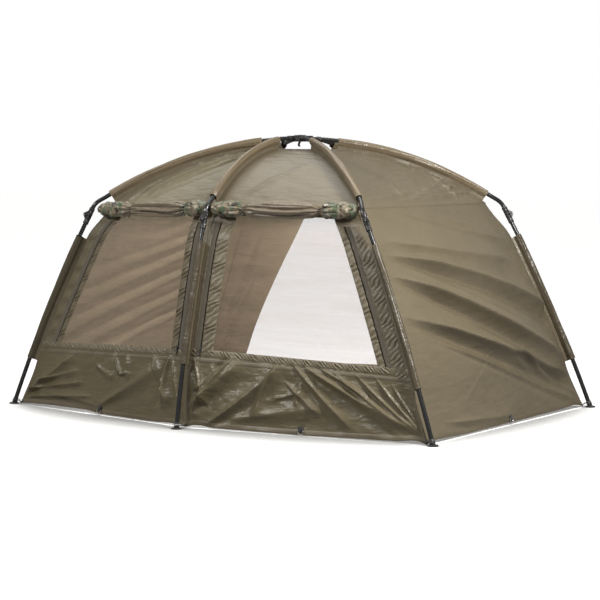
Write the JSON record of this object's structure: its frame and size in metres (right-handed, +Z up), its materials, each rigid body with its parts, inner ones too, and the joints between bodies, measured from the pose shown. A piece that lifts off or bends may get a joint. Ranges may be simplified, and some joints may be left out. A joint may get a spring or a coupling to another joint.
{
  "type": "bivvy tent",
  "caption": "Low dome shelter on a folding frame of ribs and legs around a crown hub, with cloth walls, mesh windows and rolled-up doors.",
  "frame": {"origin": "on the ground, straight under the centre of the hub", "axes": "+X to the tent's right seen from the door side, +Y to the rear, +Z up; the doors face -Y"},
  "size_m": [2.63, 2.14, 1.4273],
  "materials": {
    "pole": "black gloss over aluminium tube",
    "moulded_nylon": "black moulded nylon",
    "canopy_cloth": "olive coated woven cloth",
    "sleeve_cloth": "darker olive woven cloth",
    "insect_mesh": "fine brown net",
    "rolled_door_cloth": "satin olive cloth, mottled inside face",
    "webbing": "black webbing",
    "slider_metal": "dark zip metal"
  },
  "bodies": {
    "hub_and_canopy": {"hub": "moulded_nylon", "hub_cap": "moulded_nylon", "hub_strap": "webbing", "left_roof": "canopy_cloth", "right_roof": "canopy_cloth", "left_side_wall": "canopy_cloth", "right_side_wall": "canopy_cloth", "rear_left_wall": "canopy_cloth", "rear_right_wall": "canopy_cloth", "front_left_surround": "canopy_cloth", "front_right_surround": "canopy_cloth", "front_left_mesh": "insect_mesh", "front_right_mesh": "insect_mesh", "rear_window_mesh": "insect_mesh", "front_left_rolled_door": "rolled_door_cloth", "front_right_rolled_door": "rolled_door_cloth"},
    "rib_1_body": {"rib_1": "pole", "knuckle_1": "moulded_nylon", "rib_sleeve_1": "sleeve_cloth"},
    "leg_1_body": {"leg_knuckle_1": "moulded_nylon", "leg_1": "pole", "foot_1": "moulded_nylon", "leg_sleeve_1": "sleeve_cloth"},
    "rib_2_body": {"rib_2": "pole", "knuckle_2": "moulded_nylon", "rib_sleeve_2": "sleeve_cloth"},
    "leg_2_body": {"leg_knuckle_2": "moulded_nylon", "leg_2": "pole", "foot_2": "moulded_nylon", "leg_sleeve_2": "sleeve_cloth"},
    "rib_3_body": {"rib_3": "pole", "knuckle_3": "moulded_nylon", "rib_sleeve_3": "sleeve_cloth"},
    "leg_3_body": {"leg_knuckle_3": "moulded_nylon", "leg_3": "pole", "foot_3": "moulded_nylon", "leg_sleeve_3": "sleeve_cloth"},
    "rib_4_body": {"rib_4": "pole", "knuckle_4": "moulded_nylon", "rib_sleeve_4": "sleeve_cloth"},
    "leg_4_body": {"leg_knuckle_4": "moulded_nylon", "leg_4": "pole", "foot_4": "moulded_nylon", "leg_sleeve_4": "sleeve_cloth"},
    "rib_5_body": {"rib_5": "pole", "knuckle_5": "moulded_nylon", "rib_sleeve_5": "sleeve_cloth"},
    "leg_5_body": {"leg_knuckle_5": "moulded_nylon", "leg_5": "pole", "foot_5": "moulded_nylon", "leg_sleeve_5": "sleeve_cloth"},
    "rib_6_body": {"rib_6": "pole", "knuckle_6": "moulded_nylon", "rib_sleeve_6": "sleeve_cloth"},
    "leg_6_body": {"leg_knuckle_6": "moulded_nylon", "leg_6": "pole", "foot_6": "moulded_nylon", "leg_sleeve_6": "sleeve_cloth"},
    "left_slider_body": {"front_left_zip_slider": "slider_metal"},
    "right_slider_body": {"front_right_zip_slider": "slider_metal"}
  },
  "joints": [
    {"name": "rib_2_fold", "type": "hinge", "parent": "hub_and_canopy", "child": "rib_2_body", "pos_m": [0, -0.055, 1.4], "axis": [1, 0, 0], "range_deg": [0, 60], "deforming": ["left_roof", "right_roof", "left_side_wall", "right_side_wall", "rear_left_wall", "rear_right_wall", "front_left_surround", "front_right_surround", "front_left_mesh", "front_right_mesh", "rear_window_mesh", "front_left_rolled_door", "front_right_rolled_door"]},
    {"name": "rib_1_fold", "type": "hinge", "parent": "hub_and_canopy", "child": "rib_1_body", "pos_m": [-0.0428, -0.03454, 1.4], "axis": [0.628, -0.7782, 0], "range_deg": [0, 60]},
    {"name": "rib_3_fold", "type": "hinge", "parent": "hub_and_canopy", "child": "rib_3_body", "pos_m": [0.0428, -0.03454, 1.4], "axis": [0.628, 0.7782, 0], "range_deg": [0, 60]},
    {"name": "rib_4_fold", "type": "hinge", "parent": "hub_and_canopy", "child": "rib_4_body", "pos_m": [0.0428, 0.03454, 1.4], "axis": [-0.628, 0.7782, 0], "range_deg": [0, 60]},
    {"name": "rib_5_fold", "type": "hinge", "parent": "hub_and_canopy", "child": "rib_5_body", "pos_m": [0, 0.055, 1.4], "axis": [-1, 0, 0], "range_deg": [0, 60]},
    {"name": "rib_6_fold", "type": "hinge", "parent": "hub_and_canopy", "child": "rib_6_body", "pos_m": [-0.0428, 0.03454, 1.4], "axis": [-0.628, -0.7782, 0], "range_deg": [0, 60]},
    {"name": "leg_2_fold", "type": "hinge", "parent": "rib_2_body", "child": "leg_2_body", "pos_m": [0, -0.84395, 1.00718], "axis": [-1, 0, 0], "range_deg": [0, 201]},
    {"name": "leg_1_fold", "type": "hinge", "parent": "rib_1_body", "child": "leg_1_body", "pos_m": [-0.86939, -0.70793, 1.00983], "axis": [-0.6803, 0.6867, 0.2562], "range_deg": [0, 201]},
    {"name": "leg_3_fold", "type": "hinge", "parent": "rib_3_body", "child": "leg_3_body", "pos_m": [0.86939, -0.70793, 1.00983], "axis": [-0.6803, -0.6867, -0.2562], "range_deg": [0, 201]},
    {"name": "leg_4_fold", "type": "hinge", "parent": "rib_4_body", "child": "leg_4_body", "pos_m": [0.86939, 0.70793, 1.00983], "axis": [0.6803, -0.6867, 0.2562], "range_deg": [0, 201]},
    {"name": "leg_5_fold", "type": "hinge", "parent": "rib_5_body", "child": "leg_5_body", "pos_m": [0, 0.84395, 1.00718], "axis": [1, 0, 0], "range_deg": [0, 201]},
    {"name": "leg_6_fold", "type": "hinge", "parent": "rib_6_body", "child": "leg_6_body", "pos_m": [-0.86939, 0.70793, 1.00983], "axis": [0.6803, 0.6867, -0.2562], "range_deg": [0, 201]},
    {"name": "left_zip_slide", "type": "slide", "parent": "leg_2_body", "child": "left_slider_body", "axis": [-0.0008, 0.2547, 0.967], "range_m": [0, 0.6]},
    {"name": "right_zip_slide", "type": "slide", "parent": "leg_2_body", "child": "right_slider_body", "axis": [0.0001, 0.2597, 0.9657], "range_m": [0, 0.6]}
  ],
  "couplings": [
    {"joint": "rib_1_fold", "follows": "rib_2_fold", "ratio": 1},
    {"joint": "rib_3_fold", "follows": "rib_2_fold", "ratio": 1},
    {"joint": "rib_4_fold", "follows": "rib_2_fold", "ratio": 1},
    {"joint": "rib_5_fold", "follows": "rib_2_fold", "ratio": 1},
    {"joint": "rib_6_fold", "follows": "rib_2_fold", "ratio": 1},
    {"joint": "leg_2_fold", "follows": "rib_2_fold", "ratio": 3.35},
    {"joint": "leg_1_fold", "follows": "rib_2_fold", "ratio": 3.35},
    {"joint": "leg_3_fold", "follows": "rib_2_fold", "ratio": 3.35},
    {"joint": "leg_4_fold", "follows": "rib_2_fold", "ratio": 3.35},
    {"joint": "leg_5_fold", "follows": "rib_2_fold", "ratio": 3.35},
    {"joint": "leg_6_fold", "follows": "rib_2_fold", "ratio": 3.35}
  ]
}
